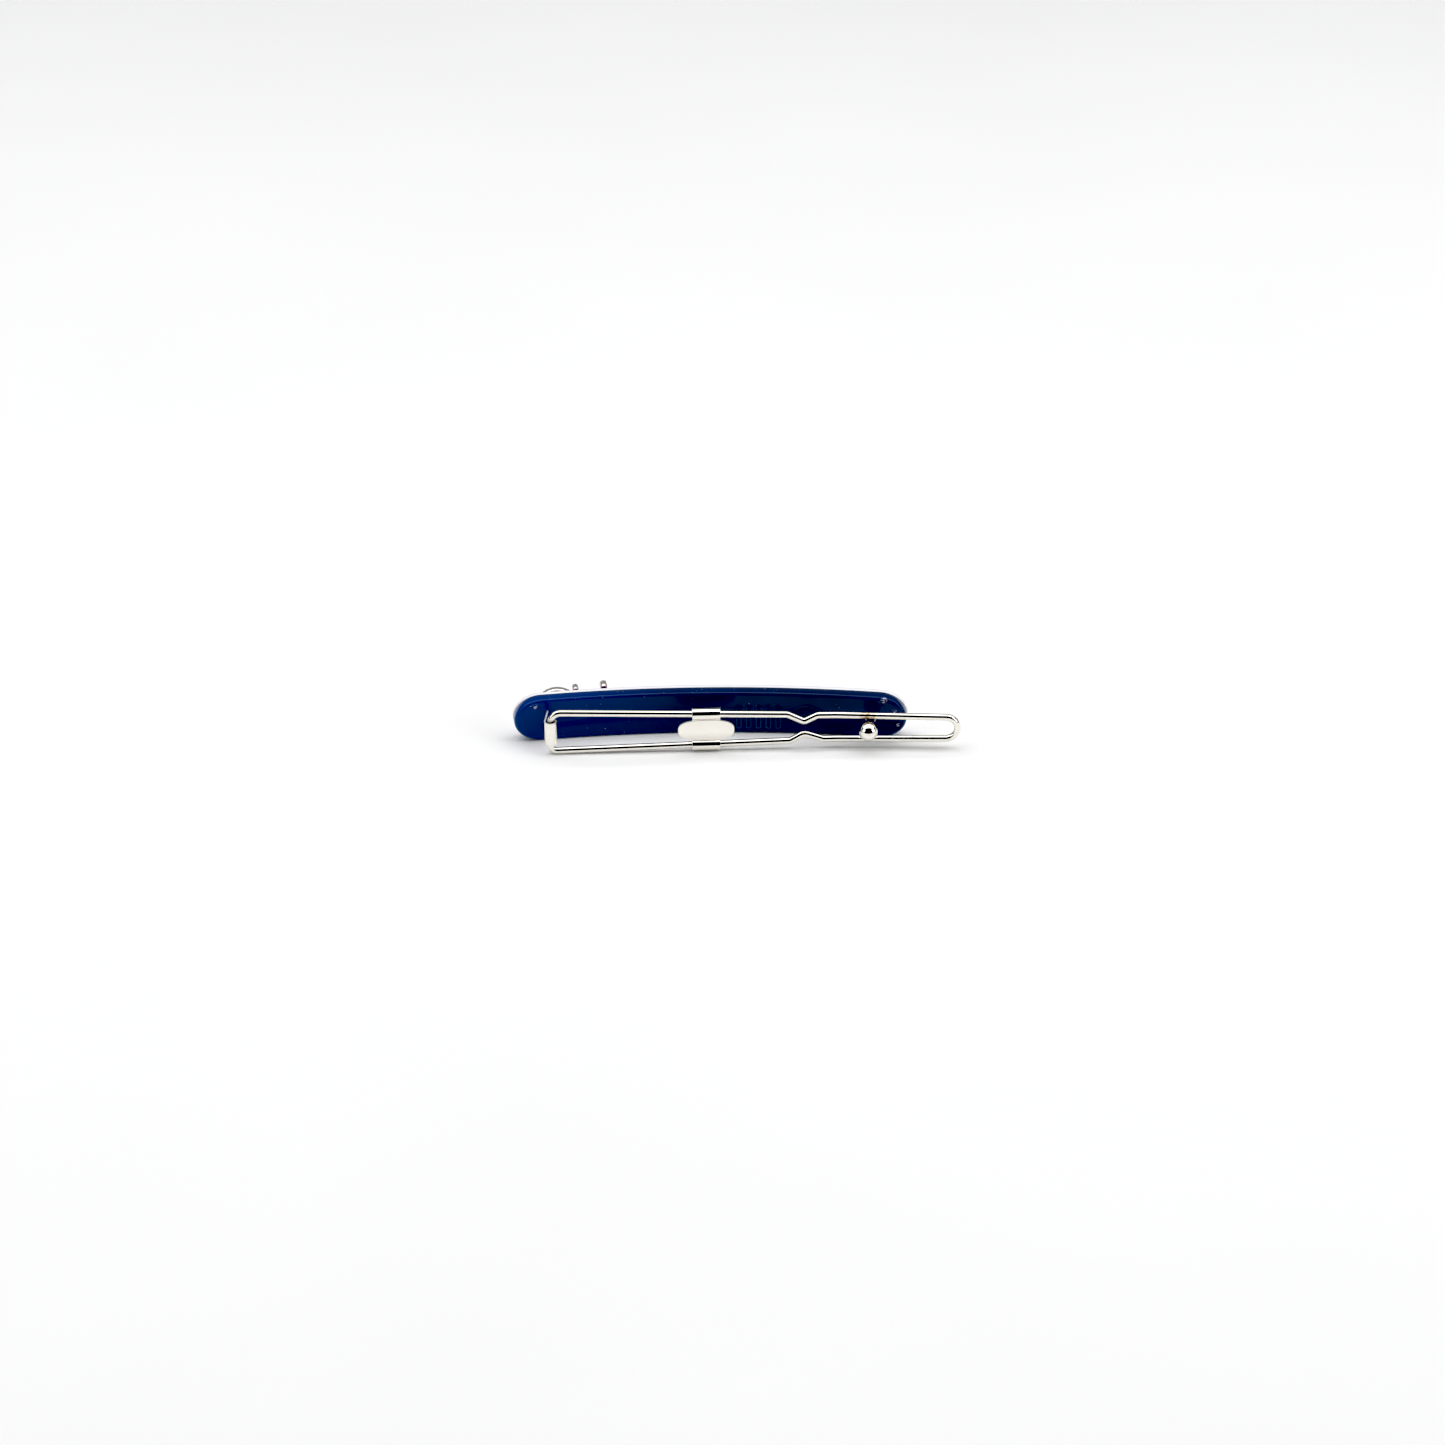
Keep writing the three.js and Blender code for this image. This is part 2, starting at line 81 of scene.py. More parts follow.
BRACKET_LOW, BRACKET_HIGH = box_mm("hinge_bracket")
STUD_LOW, STUD_HIGH = box_mm("catch_stud")


# ---------- mesh helpers ----------

def mesh_object(name, vertices, faces, smooth_angle=30.0):
    """A mesh object from millimetre vertices, with shared corners merged and faces turned out."""
    mesh = bpy.data.meshes.new(name)
    mesh.from_pydata([tuple(c * MM for c in v) for v in vertices], [], faces)
    bm = bmesh.new()
    bm.from_mesh(mesh)
    bmesh.ops.remove_doubles(bm, verts=bm.verts, dist=1e-7)
    bmesh.ops.dissolve_degenerate(bm, edges=bm.edges, dist=1e-7)
    bmesh.ops.recalc_face_normals(bm, faces=bm.faces)
    bm.to_mesh(mesh)
    bm.free()
    piece = bpy.data.objects.new(name, mesh)
    bpy.context.scene.collection.objects.link(piece)
    shade(piece, smooth_angle)
    return piece


SHEARED_INDEX = 1


def shade(piece, angle):
    """Smooth shading, with edges sharper than the angle kept crisp."""
    for polygon in piece.data.polygons:
        polygon.use_smooth = True
    piece.data.set_sharp_from_angle(angle=math.radians(angle))


def bevel(piece, width, segments=3, angle=35.0):
    """Rounds the sheet's sharp edges, which take the sheared material."""
    modifier = piece.modifiers.new("edges", "BEVEL")
    modifier.width = width * MM
    modifier.segments = segments
    modifier.limit_method = "ANGLE"
    modifier.angle_limit = math.radians(angle)
    modifier.material = SHEARED_INDEX
    apply_modifiers(piece)


def apply_modifiers(piece):
    graph = bpy.context.evaluated_depsgraph_get()
    made = bpy.data.meshes.new_from_object(piece.evaluated_get(graph))
    piece.modifiers.clear()
    piece.data = made


def union(base, others):
    """Joins other closed pieces to the base with exact booleans, and removes them."""
    for other in others:
        modifier = base.modifiers.new("join", "BOOLEAN")
        modifier.operation = "UNION"
        modifier.solver = "EXACT"
        modifier.object = other
        apply_modifiers(base)
        bpy.data.objects.remove(other)


def skin(rings):
    """Vertices and faces of a closed skin over equal rings, closed by a fan of its own at each end."""
    count = len(rings[0])
    vertices = [point for ring in rings for point in ring]
    faces = []
    for r in range(len(rings) - 1):
        for i in range(count):
            here = r * count + i
            beside = r * count + (i + 1) % count
            faces.append((here, beside, beside + count, here + count))
    faces.append(tuple(reversed(range(count))))
    faces.append(tuple(range(len(vertices) - count, len(vertices))))
    return vertices, faces


def arc(centre, radius, start, end, steps):
    angles = [start + (end - start) * i / steps for i in range(steps + 1)]
    return [Vector((centre[0] + radius * math.cos(a), centre[1] + radius * math.sin(a))) for a in angles]


def ribbon(points, thickness):
    """The outline of a sheet of even thickness that follows flat points."""
    left, right = [], []
    for i, point in enumerate(points):
        along = (points[min(i + 1, len(points) - 1)] - points[max(i - 1, 0)]).normalized()
        aside = Vector((-along.y, along.x)) * (thickness / 2)
        left.append(point + aside)
        right.insert(0, point - aside)
    return left + right


def prism(name, outline, low, high, place, materials, sheared):
    """A flat outline of sheet swept between two levels. place(x, y, level) gives the vertex.

    materials are the sheet's own and its sheared edge's. The sheared edge is the "ends" of the sweep
    or its "sides".
    """
    count = len(outline)
    vertices = [place(p.x, p.y, level) for level in (low, high) for p in outline]
    faces = [(i, (i + 1) % count, (i + 1) % count + count, i + count) for i in range(count)]
    faces.append(tuple(reversed(range(count))))
    faces.append(tuple(range(count, 2 * count)))
    piece = mesh_object(name, vertices, faces)
    for material in materials:
        piece.data.materials.append(material)
    for polygon in piece.data.polygons:
        is_end = len(polygon.vertices) == count
        polygon.material_index = SHEARED_INDEX if is_end == (sheared == "ends") else 0
    return piece


def hull(name, points):
    """The closed faceted body round a cloud of points."""
    bm = bmesh.new()
    for point in points:
        bm.verts.new([c * MM for c in point])
    made = bmesh.ops.convex_hull(bm, input=bm.verts)
    loose = {v for v in made["geom_interior"] + made["geom_unused"] if isinstance(v, bmesh.types.BMVert)}
    bmesh.ops.delete(bm, geom=list(loose), context="VERTS")
    bmesh.ops.dissolve_limit(bm, angle_limit=math.radians(1.5), verts=bm.verts, edges=bm.edges)
    bmesh.ops.recalc_face_normals(bm, faces=bm.faces)
    mesh = bpy.data.meshes.new(name)
    bm.to_mesh(mesh)
    bm.free()
    piece = bpy.data.objects.new(name, mesh)
    bpy.context.scene.collection.objects.link(piece)
    return piece


def finish_piece(piece, material, body, nodes):
    """Says what the piece is made of, rides on, stands for and is finished like."""
    if material:
        piece.data.materials.clear()
        piece.data.materials.append(material)
    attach(piece, body)
    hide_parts(*nodes)
    return piece


# ---------- the bow ----------

def on_bar(along, height, z):
    """A point in bar coordinates, bent onto the bow. Height runs from the back face to the front."""
    angle = along / BOW_RADIUS
    reach = BOW_RADIUS + height
    y = reach * math.cos(angle) - BOW_RADIUS - BACK_THICKNESS / 2
    return Vector((reach * math.sin(angle), y, z))


# ---------- the laminated bar ----------

GROOVE_COUNT = 5
GROOVE_PITCH = 1.8
GROOVE_MIDDLE = 8.85
GROOVE_Z = 3.55
GROOVE_HALF_LENGTH = 2.05
GROOVE_HALF_WIDTH = 0.52
GROOVE_DEPTH = 0.3


def groove_depth(along, z):
    """How far the back face sinks at a point, in five round-ended grooves."""
    deepest = 0.0
    for i in range(GROOVE_COUNT):
        middle = GROOVE_MIDDLE + (i - (GROOVE_COUNT - 1) / 2) * GROOVE_PITCH
        beyond = max(0.0, abs(z - GROOVE_Z) - GROOVE_HALF_LENGTH)
        distance = math.hypot(along - middle, beyond) / GROOVE_HALF_WIDTH
        if distance < 1:
            deepest = max(deepest, GROOVE_DEPTH * (1 - distance * distance) ** 0.75)
    return deepest


def bar_alongs():
    """Where the straight stretch is divided: closely over the grooves, widely elsewhere."""
    straight = BAR_LENGTH / 2 - END_REACH
    reach = GROOVE_PITCH * GROOVE_COUNT / 2 + 0.4
    fine_start, fine_end = GROOVE_MIDDLE - reach, GROOVE_MIDDLE + reach
    before = np.linspace(-straight, fine_start, 46)[:-1]
    fine = np.linspace(fine_start, fine_end, 141)
    after = np.linspace(fine_end, straight, 30)[1:]
    return [float(a) for a in (*before, *fine, *after)]


def bar_stations(inset):
    """The bar's outline, drawn in by inset: (along, half width) from the left tip to the right tip."""
    end_steps = 30
    straight = BAR_LENGTH / 2 - END_REACH
    turns = [math.pi / 2 * i / end_steps for i in range(end_steps)]
    half = BAR_WIDTH / 2 - inset
    end = [((END_REACH - inset) * math.cos(t), half * math.sin(t)) for t in turns]
    left = [(-straight - reach, width) for reach, width in end]
    right = [(straight + reach, width) for reach, width in reversed(end)]
    return left + [(along, half) for along in bar_alongs()] + right


def bar_layer(name, levels, sunk_face):
    """One layer from its (height, inset) levels, back to front.

    sunk_face(along, z) says how far the first face sinks at a point.
    """
    vertices, faces = [], []
    outlines = [bar_stations(inset) for height, inset in levels]
    count = len(outlines[0])
    for (height, inset), outline in zip(levels, outlines):
        vertices += [on_bar(a, height, BAR_MID + half) for a, half in outline]
        vertices += [on_bar(a, height, BAR_MID - half) for a, half in outline]
    for level in range(len(levels) - 1):
        low = level * 2 * count
        for i in range(count - 1):
            upper = low + i
            lower = upper + count
            step = 2 * count
            faces.append((upper, upper + 1, upper + 1 + step, upper + step))
            faces.append((lower, lower + step, lower + 1 + step, lower + 1))
    for level, deepen in ((0, sunk_face), (len(levels) - 1, None)):
        faces += face_grid(vertices, levels[level][0], outlines[level], deepen)
    return mesh_object(name, vertices, faces, 50)


def face_grid(vertices, height, outline, deepen):
    """Adds a face's grid of vertices and returns its faces. Its border lies on the outline's ring."""
    rows = 64
    first = len(vertices)
    for along, half in outline:
        for row in range(rows + 1):
            z = BAR_MID + half * (1 - 2 * row / rows)
            depth = deepen(along, z) if deepen else 0.0
            vertices.append(on_bar(along, height + depth, z))
    faces = []
    for i in range(len(outline) - 1):
        for row in range(rows):
            here = first + i * (rows + 1) + row
            beside = here + rows + 1
            faces.append((here, beside, beside + 1, here + 1))
    return faces


def rounded_edge(face_height, outward):
    """Levels of a rounded edge, back to front; outward is +1 at the front and -1 at the back."""
    steps = 10
    levels = []
    for i in range(steps + 1):
        turn = math.pi / 2 * i / steps
        height = face_height - outward * EDGE_RADIUS * (1 - math.sin(turn))
        levels.append((height, EDGE_RADIUS * (1 - math.cos(turn))))
    return levels if outward > 0 else levels[::-1]


def back_bar(material):
    levels = rounded_edge(0.0, -1) + [(BACK_THICKNESS - 0.03, 0.0), (BACK_THICKNESS, 0.02)]
    piece = bar_layer("navy_back_layer", levels, groove_depth)
    return finish_piece(piece, material, "bar", ["back_bar"])


def front_layer(material):
    start = BACK_THICKNESS + GLUE_LINE
    levels = [(start, 0.02), (start + 0.03, 0.0)] + rounded_edge(FRONT_FACE, 1)
    piece = bar_layer("white_front_layer", levels, None)
    return finish_piece(piece, material, "bar", ["front_layer"])


# ---------- the hinge bracket ----------

SHEET = 0.3
BARREL_BORE = 0.87
BARREL_MID_RADIUS = BARREL_BORE + SHEET / 2
LEG_LEAN = math.radians(4.6)
LEG_LENGTH = 4.95
FOOT_TOP = 6.2
TANG_DEPTH = 1.5
BARREL_WRAP = math.radians(285)
SLOPE_CLEARANCE = 0.2


def hinge_bracket(materials):
    """One strip of sheet: a sloped leg, a tang in the bar and a barrel rolled round the hinge's axis."""
    leg = Vector((math.sin(LEG_LEAN), math.cos(LEG_LEAN)))
    tangent = Vector((PIVOT.x, PIVOT.y)) + Vector((-leg.y, leg.x)) * BARREL_MID_RADIUS
    start = math.pi - LEG_LEAN
    curl = arc((PIVOT.x, PIVOT.y), BARREL_MID_RADIUS, start, start + BARREL_WRAP, 90)
    foot = [tangent + leg * (LEG_LENGTH + TANG_DEPTH * (1 - i / 4)) for i in range(5)]
    outline = ribbon(foot + curl, SHEET)
    slope_start = PIVOT.y + SLOPE_CLEARANCE

    def place(x, y, level):
        slope = min(1.0, max(0.0, (y - slope_start) / (LEG_LENGTH - SLOPE_CLEARANCE)))
        return x, y, min(level, BRACKET_HIGH.z + (FOOT_TOP - BRACKET_HIGH.z) * slope)

    piece = prism("hinge_bracket_sheet", outline, BRACKET_LOW.z, BRACKET_HIGH.z, place, materials, "ends")
    bevel(piece, 0.1, 5)
    shade(piece, 35)
    return finish_piece(piece, None, "bar", ["hinge_bracket"])


# ---------- the catch stud ----------

BALL_RADIUS = (STUD_HIGH.z - STUD_LOW.z) / 2
BALL_HEIGHT = 5.1
STUD_ALONG = 29.5
NECK_RADIUS = 0.75
COLLAR_RADIUS = 1.32
COLLAR_REACH = 1.62
ROUNDING = 0.16
NECK_FILLET = 0.12
SHANK_DEPTH = 1.6
RING_REACH, RING_HEIGHT, RING_MIDDLE = 0.3, 0.14, 0.12
UP = Vector((0, 0, 1))


def stud_profile():
    """The stud's (radius, height) outline: shank, foot ring, neck, collar and ball, from back to front."""
    shank_round = 0.1
    profile = [(0.0, -SHANK_DEPTH), (NECK_RADIUS - shank_round, -SHANK_DEPTH)]
    profile += [(NECK_RADIUS, shank_round - SHANK_DEPTH), (NECK_RADIUS, -0.02)]
    profile += [(NECK_RADIUS + RING_REACH * math.cos(t), RING_MIDDLE + RING_HEIGHT * math.sin(t))
                for t in np.linspace(-1.5, 1.5, 9)]
    collar_end = math.acos(COLLAR_RADIUS / BALL_RADIUS)
    collar_back = BALL_HEIGHT - COLLAR_REACH
    neck_end = collar_back - ROUNDING
    profile += [(NECK_RADIUS, 0.3), (NECK_RADIUS, neck_end)]
    profile += [(NECK_RADIUS + NECK_FILLET * (1 - math.cos(t)), neck_end + NECK_FILLET * math.sin(t))
                for t in np.linspace(0.3, 1.5, 5)]
    profile += [(COLLAR_RADIUS - ROUNDING * (1 - math.sin(t)), collar_back + ROUNDING * (1 - math.cos(t)))
                for t in np.linspace(0, math.pi / 2, 8)]
    profile += [(BALL_RADIUS * math.cos(a), BALL_HEIGHT + BALL_RADIUS * math.sin(a))
                for a in np.linspace(-collar_end + 0.04, math.pi / 2, 60)]
    profile[-1] = (0.0, BALL_HEIGHT + BALL_RADIUS)
    return profile


def catch_stud(material):
    """The lathed stud, standing square on the bowed back face."""
    sides = 96
    turn = STUD_ALONG / BOW_RADIUS
    outward = Vector((-math.sin(turn), -math.cos(turn), 0))
    across = Vector((math.cos(turn), -math.sin(turn), 0))
    foot = on_bar(STUD_ALONG, 0, BAR_MID)
    rings = []
    for radius, height in stud_profile():
        centre = foot + outward * height
        angles = (2 * math.pi * i / sides for i in range(sides))
        rings.append([centre + (across * math.cos(a) + UP * math.sin(a)) * radius for a in angles])
    piece = mesh_object("ball_catch_stud", *skin(rings), smooth_angle=40)
    return finish_piece(piece, material, "bar", ["catch_stud"])


# ---------- the wire clip ----------

HINGE_WIDTH, NECK_START_WIDTH, NOSE_WIDTH = 7.9, 5.56, 4.4
NECK_MIDDLE, NECK_WIDTH, AFTER_NECK_WIDTH = 46.2, 2.5, 5.0
UPPER_NECK = {"start": 43.1, "end": 48.6, "bend": 0.9}
LOWER_NECK = {"start": 43.75, "end": 49.7, "bend": 1.3}
LIFT_START, NOSE_REACH = 52.0, 74.1
NOSE_LIFT = math.radians(3.4)
MID_AT_HINGE, MID_AT_STUD, STUD_REACH = 4.56, 4.25, 58.5
UPPER_HINGE = {"pin_end": 4.95, "bend": 1.9}
LOWER_HINGE = {"pin_end": 3.75, "bend": 1.1}


def clip_mid(reach):
    return MID_AT_HINGE + (MID_AT_STUD - MID_AT_HINGE) * reach / STUD_REACH


def leg_width(reach):
    return HINGE_WIDTH + (NECK_START_WIDTH - HINGE_WIDTH) * reach / UPPER_NECK["start"]


def clip_place(reach, out, z):
    """A point of the clip's own frame at the pivot, in the row frame; out is away from the bar."""
    x = reach * math.cos(CLIP_TILT) + out * math.sin(CLIP_TILT)
    y = reach * math.sin(CLIP_TILT) - out * math.cos(CLIP_TILT)
    return Vector((PIVOT.x + x, PIVOT.y + y, z))


def leg_corners(side, hinge, neck):
    """Corners (point, bend radius) of one leg, from its pin end to the nose; side is +1 for the upper."""

    def corner(reach, width, radius):
        out = max(0.0, reach - LIFT_START) * math.tan(NOSE_LIFT)
        return Vector((reach, out, clip_mid(reach) + side * width / 2)), radius
    return [
        (Vector((0, 0, hinge["pin_end"])), 0.0),
        corner(0, leg_width(0), hinge["bend"]),
        corner(neck["start"], leg_width(neck["start"]), 1.5),
        corner(NECK_MIDDLE, NECK_WIDTH, neck["bend"]),
        corner(neck["end"], AFTER_NECK_WIDTH, 1.2),
        corner(LIFT_START, AFTER_NECK_WIDTH - 0.04, 9.0),
        corner(NOSE_REACH, NOSE_WIDTH, NOSE_WIDTH / 2 - 0.05),
    ]


def bent_path(corners, step):
    """Points and directions along the straights and arcs of a bent wire."""
    points = [point for point, radius in corners]
    stations = [(points[0], (points[1] - points[0]).normalized())]
    for i in range(1, len(corners) - 1):
        into = (points[i] - points[i - 1]).normalized()
        out = (points[i + 1] - points[i]).normalized()
        turn = into.angle(out)
        radius = corners[i][1]
        entry = points[i] - into * radius * math.tan(turn / 2)
        inward = (out - into * math.cos(turn)).normalized()
        steps = max(3, round(turn / step))
        for k in range(steps + 1):
            a = turn * k / steps
            point = entry + into * radius * math.sin(a) + inward * radius * (1 - math.cos(a))
            stations.append((point, into * math.cos(a) + inward * math.sin(a)))
    stations.append((points[-1], (points[-1] - points[-2]).normalized()))
    return stations


def rod_rings(stations, radii, sides, side):
    rings = []
    for (point, direction), radius in zip(stations, radii):
        across = (side - direction * side.dot(direction)).normalized()
        up = direction.cross(across)
        angles = (2 * math.pi * i / sides for i in range(sides))
        rings.append([point + (across * math.cos(a) + up * math.sin(a)) * radius for a in angles])
    return rings


def wire_clip(material):
    """One round wire: down the upper pin, along the upper leg, round the nose and back to the lower pin."""
    corners = leg_corners(1, UPPER_HINGE, UPPER_NECK) + leg_corners(-1, LOWER_HINGE, LOWER_NECK)[::-1]
    stations = bent_path(corners, math.radians(4))
    radii = [WIRE_RADIUS] * len(stations)
    rings = rod_rings(stations, radii, 40, Vector((0, 1, 0)))
    rings = [[clip_place(*point) for point in ring] for ring in rings]
    piece = mesh_object("bent_wire_clip", *skin(rings), smooth_angle=50)
    return finish_piece(piece, material, "clip", ["wire_clip"])


# ---------- the pressure plate ----------

PLATE_REACH, PLATE_LENGTH, PLATE_HEIGHT, PLATE_SHEET = 28.3, 10.24, 4.14, 0.36
TAB_WIDTH, SET_OUT, FILLET_RADIUS, CREASE = 5.1, 0.3, 0.2, 0.08
ROLL_SLACK = 0.14
ROLL_RADIUS = WIRE_RADIUS + ROLL_SLACK + PLATE_SHEET / 2
ROLL_END = math.radians(215)


def plate_tab(side, materials):
    """A tab that leaves the oval, bows out and rolls round one leg."""
    leg_z = clip_mid(PLATE_REACH) + side * leg_width(PLATE_REACH) / 2
    set_out = SET_OUT - CREASE
    fillet_x = set_out + FILLET_RADIUS
    meeting = math.acos(fillet_x / (ROLL_RADIUS + FILLET_RADIUS))
    fillet_y = -math.sin(meeting) * (ROLL_RADIUS + FILLET_RADIUS)
    root = Vector((set_out, -leg_width(PLATE_REACH) / 2 + 0.6))
    fillet = arc((fillet_x, fillet_y), FILLET_RADIUS, math.pi, math.pi - meeting, 12)
    roll = arc((0, 0), ROLL_RADIUS, -meeting, ROLL_END, 80)[1:]
    outline = ribbon([root] + fillet + roll, PLATE_SHEET - 0.02)

    def place(x, y, level):
        return clip_place(PLATE_REACH + level, x, leg_z + side * y)

    return prism("tab", outline, -TAB_WIDTH / 2, TAB_WIDTH / 2, place, materials, "ends")


def plate_oval(materials):
    """The plate's squarish oval, a superellipse."""
    steps, squareness = 144, 2.7
    outline = []
    for i in range(steps):
        angle = 2 * math.pi * i / steps
        c, s = math.cos(angle), math.sin(angle)
        x = math.copysign(abs(c) ** (2 / squareness), c) * PLATE_LENGTH / 2
        y = math.copysign(abs(s) ** (2 / squareness), s) * PLATE_HEIGHT / 2
        outline.append(Vector((x, y)))
    mid = clip_mid(PLATE_REACH)

    def place(x, y, level):
        return clip_place(PLATE_REACH + x, level, mid + y)

    low, high = SET_OUT - PLATE_SHEET / 2, SET_OUT + PLATE_SHEET / 2
    return prism("pressure_plate_sheet", outline, low, high, place, materials, "sides")


def pressure_plate(materials):
    piece = plate_oval(materials)
    union(piece, [plate_tab(1, materials), plate_tab(-1, materials)])
    bevel(piece, 0.05, 3, 40)
    shade(piece, 32)
    return finish_piece(piece, None, "clip", ["pressure_plate"])


# ---------- the sprig and its crystals ----------

STONES = {
    "leaf_crystal_upper": {"along": -28.1, "z": 7.2, "length": 5.7, "width": 2.3, "turn": 6, "rise": 1.5},
    "leaf_crystal_lower": {"along": -25.3, "z": 1.9, "length": 5.0, "width": 2.2, "turn": -9, "rise": 1.5},
    "bud_crystal_inner": {"along": -24.3, "z": 7.9, "length": 1.2, "width": 1.2, "turn": 0, "rise": 1.9},
    "bud_crystal_upper": {"along": -19.2, "z": 8.05, "length": 1.4, "width": 1.4, "turn": 0, "rise": 2.2},
    "bud_crystal_lower": {"along": -20.3, "z": 1.7, "length": 1.6, "width": 1.6, "turn": 0, "rise": 1.9},
    "bud_crystal_end": {"along": -16.0, "z": 4.9, "length": 2.0, "width": 2.0, "turn": 0, "rise": 1.7},
}
CUP_RIM, CUP_SEAT, STONE_SLACK = 0.26, 0.75, 0.05
STEM_RADIUS, TWIG_RADIUS, PIN_RADIUS, PIN_LENGTH = 0.32, 0.24, 0.4, 0.9
SPRIG_FOOT = FRONT_FACE + 0.04
STEM_HEIGHT = SPRIG_FOOT + 0.06 + STEM_RADIUS
STEM = [(-31.2, 3.6), (-28, 4.3), (-24, 4.7), (-20, 4.5), (-16, 4.9)]
TWIGS = [
    [(-29.4, 4.0), (-28.9, 5.4), (-28.1, 7.2)],
    [(-27.2, 4.4), (-26.4, 3.2), (-25.3, 1.9)],
    [(-26.2, 4.6), (-24.9, 6.0), (-24.3, 7.9)],
    [(-22.6, 4.6), (-20.6, 5.9), (-19.2, 8.05)],
    [(-22.9, 4.6), (-21.2, 3.5), (-20.3, 1.7)],
]
PIN_PLACES = [(-28, 4.3), (-20, 4.5)]


def stone_ring(stone, inset, height, steps, offset=0.0):
    """A stone's outline drawn in by inset: a pointed leaf or a round bud, bent onto the bow."""
    pointed = stone["length"] > stone["width"]
    turn = math.radians(stone["turn"])
    ring = []
    for i in range(steps):
        angle = 2 * math.pi * (i + offset) / steps
        belly = math.sin(angle) * (abs(math.sin(angle)) if pointed else 1.0)
        x = -(stone["length"] / 2 - inset * (2 if pointed else 1)) * math.cos(angle)
        z = (stone["width"] / 2 - inset) * belly
        along = stone["along"] + x * math.cos(turn) - z * math.sin(turn)
        ring.append(on_bar(along, height, stone["z"] + x * math.sin(turn) + z * math.cos(turn)))
    return ring


def cup(stone):
    """A bezel cup: a flared foot, an upright wall, a rounded rim and a seat for the stone."""
    steps = 64
    top = FRONT_FACE + stone["rise"]
    round_over = CUP_RIM * 0.45
    rings = [stone_ring(stone, stone["width"] * 0.2, SPRIG_FOOT, steps)]
    for i in range(9):
        t = i / 8
        inset = stone["width"] * 0.2 * (1 - math.sin(t * math.pi / 2))
        rings.append(stone_ring(stone, inset, SPRIG_FOOT + 0.05 + stone["rise"] * 0.4 * t, steps))
    for i in range(9):
        turn = math.pi / 2 * i / 8
        inset = round_over * (1 - math.cos(turn))
        rings.append(stone_ring(stone, inset, top - round_over * (1 - math.sin(turn)), steps))
    for i in range(1, 7):
        turn = math.pi / 2 * i / 6
        inset = CUP_RIM - round_over * (1 - math.sin(turn))
        rings.append(stone_ring(stone, inset, top - round_over * (1 - math.cos(turn)) * 1.2, steps))
    rings.append(stone_ring(stone, CUP_RIM, top - CUP_SEAT, steps))
    return mesh_object("cup", *skin(rings))


def catmull_rom(points, steps):
    """A smooth curve through flat points, with each stretch divided into steps."""
    ends = [points[0] * 2 - points[1]] + points + [points[-1] * 2 - points[-2]]
    curve = []
    for a, b, c, d in zip(ends, ends[1:], ends[2:], ends[3:]):
        for i in range(steps):
            t = i / steps
            curve.append((b * 2 + (c - a) * t + (a * 2 - b * 5 + c * 4 - d) * t ** 2
                          + (b * 3 - a - c * 3 + d) * t ** 3) / 2)
    return curve + [points[-1]]


def twig(points, radius):
    """A round rod along the bar's face, thinning towards its tip, with rounded ends."""
    curve = catmull_rom([Vector(p) for p in points], 10)
    stations = []
    for i, point in enumerate(curve):
        along = (curve[min(i + 1, len(curve) - 1)] - curve[max(i - 1, 0)]).normalized()
        stations.append((Vector((point.x, STEM_HEIGHT, point.y)), Vector((along.x, 0, along.y))))
    last = len(stations) - 1
    radii = [radius * (1 - 0.2 * i / last) * math.sqrt(min(1.0, (min(i, last - i) + 0.12) / 1.6)) * 0.98
             for i in range(last + 1)]
    rings = rod_rings(stations, radii, 24, Vector((0, 1, 0)))
    return mesh_object("twig", *skin([[on_bar(*point) for point in ring] for ring in rings]))


def pin(along, z):
    """A round pin from the stem into the bar, with a chamfered tip."""
    heights = (FRONT_FACE - PIN_LENGTH, FRONT_FACE - PIN_LENGTH + 0.08, STEM_HEIGHT)
    rings = []
    for height, radius in zip(heights, (PIN_RADIUS - 0.08, PIN_RADIUS, PIN_RADIUS * 0.9)):
        angles = (2 * math.pi * i / 32 for i in range(32))
        flat = [(along + radius * math.cos(a), z + radius * math.sin(a)) for a in angles]
        rings.append([on_bar(x, height, y) for x, y in flat])
    return mesh_object("pin", *skin(rings))


def sprig_setting(material):
    """The stem, twigs, pins and cups, joined into one casting."""
    piece = twig(STEM, STEM_RADIUS)
    piece.name = "sprig_branch"
    union(piece, [twig(points, TWIG_RADIUS) for points in TWIGS] + [pin(*place) for place in PIN_PLACES])
    union(piece, [cup(stone) for stone in STONES.values()])
    shade(piece, 40)
    return finish_piece(piece, material, "bar", ["sprig_setting"])


def crystal(name, stone, material):
    """A cut stone: a girdle in the cup's seat, a crown of facets and a flat table."""
    inset = CUP_RIM + STONE_SLACK
    floor = FRONT_FACE + stone["rise"] - CUP_SEAT + STONE_SLACK
    shoulder = stone["width"] * 0.2
    sides = 12 if stone["length"] > stone["width"] else 8
    points = stone_ring(stone, inset + shoulder * 0.6, floor, sides)
    points += stone_ring(stone, inset, floor + CUP_SEAT * 0.55, sides * 2)
    points += stone_ring(stone, inset, floor + CUP_SEAT - 0.15, sides * 2)
    points += stone_ring(stone, inset + shoulder * 0.45, floor + CUP_SEAT + 0.13, sides, 0.5)
    points += stone_ring(stone, inset + shoulder, floor + CUP_SEAT + 0.3, sides)
    piece = hull("cut_" + name, points)
    return finish_piece(piece, material, "bar", [name])


# ---------- materials ----------

